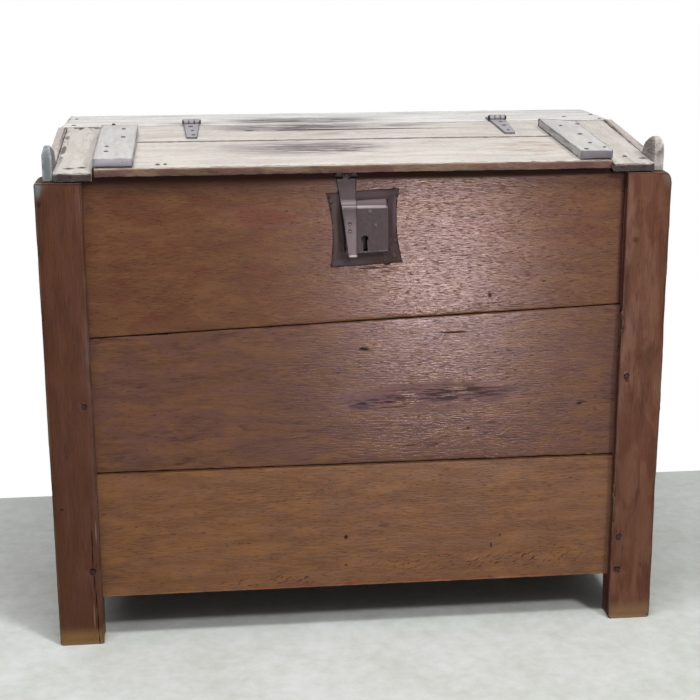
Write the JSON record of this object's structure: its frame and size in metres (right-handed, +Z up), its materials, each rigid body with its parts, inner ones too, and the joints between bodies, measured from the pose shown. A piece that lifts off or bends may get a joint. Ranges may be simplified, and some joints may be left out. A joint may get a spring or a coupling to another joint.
{
  "type": "grain ark chest",
  "caption": "Tall plank chest on grooved corner posts, with a sloping battened lid on strap hinges, ears at the front corners and a hasp over a box lock.",
  "frame": {"origin": "on the ground, at the middle of the chest's width and depth", "axes": "+X to the viewer's right along the length, +Y to the back, +Z up"},
  "size_m": [1.3, 0.65, 1.0803],
  "materials": {
    "post_oak": "old oak, dark red brown, rubbed to a waxy sheen, grey at the shoulders",
    "wall_oak": "old oak, mid brown with fine pores and dark stains, waxy sheen",
    "inner_oak": "rough sawn oak, unpolished, matt",
    "weathered_oak": "bare oak bleached pale grey by weather, matt",
    "batten_oak": "bare oak bleached grey white, darker end grain, matt",
    "peg_oak": "riven oak peg, dark end grain",
    "wrought_iron": "hand forged iron with brown grey patina, dull sheen",
    "dark_iron": "hand forged iron, blackened",
    "spring_steel": "blued spring steel"
  },
  "bodies": {
    "chest": {"front_left_post": "post_oak", "rear_left_post": "post_oak", "front_right_post": "post_oak", "rear_right_post": "post_oak", "front_plank_bottom": "wall_oak", "front_plank_middle": "wall_oak", "front_plank_top": "wall_oak", "back_plank_bottom": "wall_oak", "back_plank_middle": "wall_oak", "back_plank_top": "wall_oak", "front_left_peg_1": "peg_oak", "front_left_peg_2": "peg_oak", "rear_left_peg_1": "peg_oak", "rear_left_peg_2": "peg_oak", "front_right_peg_1": "peg_oak", "front_right_peg_2": "peg_oak", "front_right_peg_3": "peg_oak", "rear_right_peg_1": "peg_oak", "rear_right_peg_2": "peg_oak", "left_side_board_bottom": "wall_oak", "left_side_board_middle": "wall_oak", "left_side_board_top": "weathered_oak", "right_side_board_bottom": "wall_oak", "right_side_board_middle": "wall_oak", "right_side_board_top": "weathered_oak", "front_floor_ledger": "inner_oak", "back_floor_ledger": "inner_oak", "floor_board_1": "inner_oak", "floor_board_2": "inner_oak", "floor_board_3": "inner_oak", "floor_board_4": "inner_oak", "floor_board_5": "inner_oak", "rear_top_board": "weathered_oak", "rear_top_bearer": "inner_oak", "left_end_board": "weathered_oak", "right_end_board": "weathered_oak", "left_hinge_leaf": "wrought_iron", "left_hinge_pin": "dark_iron", "right_hinge_leaf": "wrought_iron", "right_hinge_pin": "dark_iron", "lock_plate": "wrought_iron", "lock_case": "wrought_iron", "lock_left_guide": "dark_iron", "lock_right_guide": "dark_iron", "lock_spring": "spring_steel"},
    "lid": {"lid_front_board": "weathered_oak", "lid_rear_board": "weathered_oak", "left_lid_batten": "batten_oak", "right_lid_batten": "batten_oak", "left_hinge_strap": "wrought_iron", "right_hinge_strap": "wrought_iron", "hasp_leaf": "wrought_iron", "hasp_pin": "dark_iron"},
    "hasp": {"hasp": "wrought_iron", "hasp_staple": "dark_iron"},
    "bolt": {"lock_bolt": "dark_iron"}
  },
  "joints": [
    {"name": "lid_hinge", "type": "hinge", "parent": "chest", "child": "lid", "pos_m": [0, 0.079, 1.0733], "axis": [-1, 0, 0], "range_deg": [0, 165]},
    {"name": "hasp_hinge", "type": "hinge", "parent": "lid", "child": "hasp", "pos_m": [-0.026, -0.311, 1.00443], "axis": [-1, 0, 0], "range_deg": [0, 110]},
    {"name": "bolt_slide", "type": "slide", "parent": "chest", "child": "bolt", "axis": [-0.9986, 0, -0.0523], "range_m": [0, 0.0115]}
  ]
}
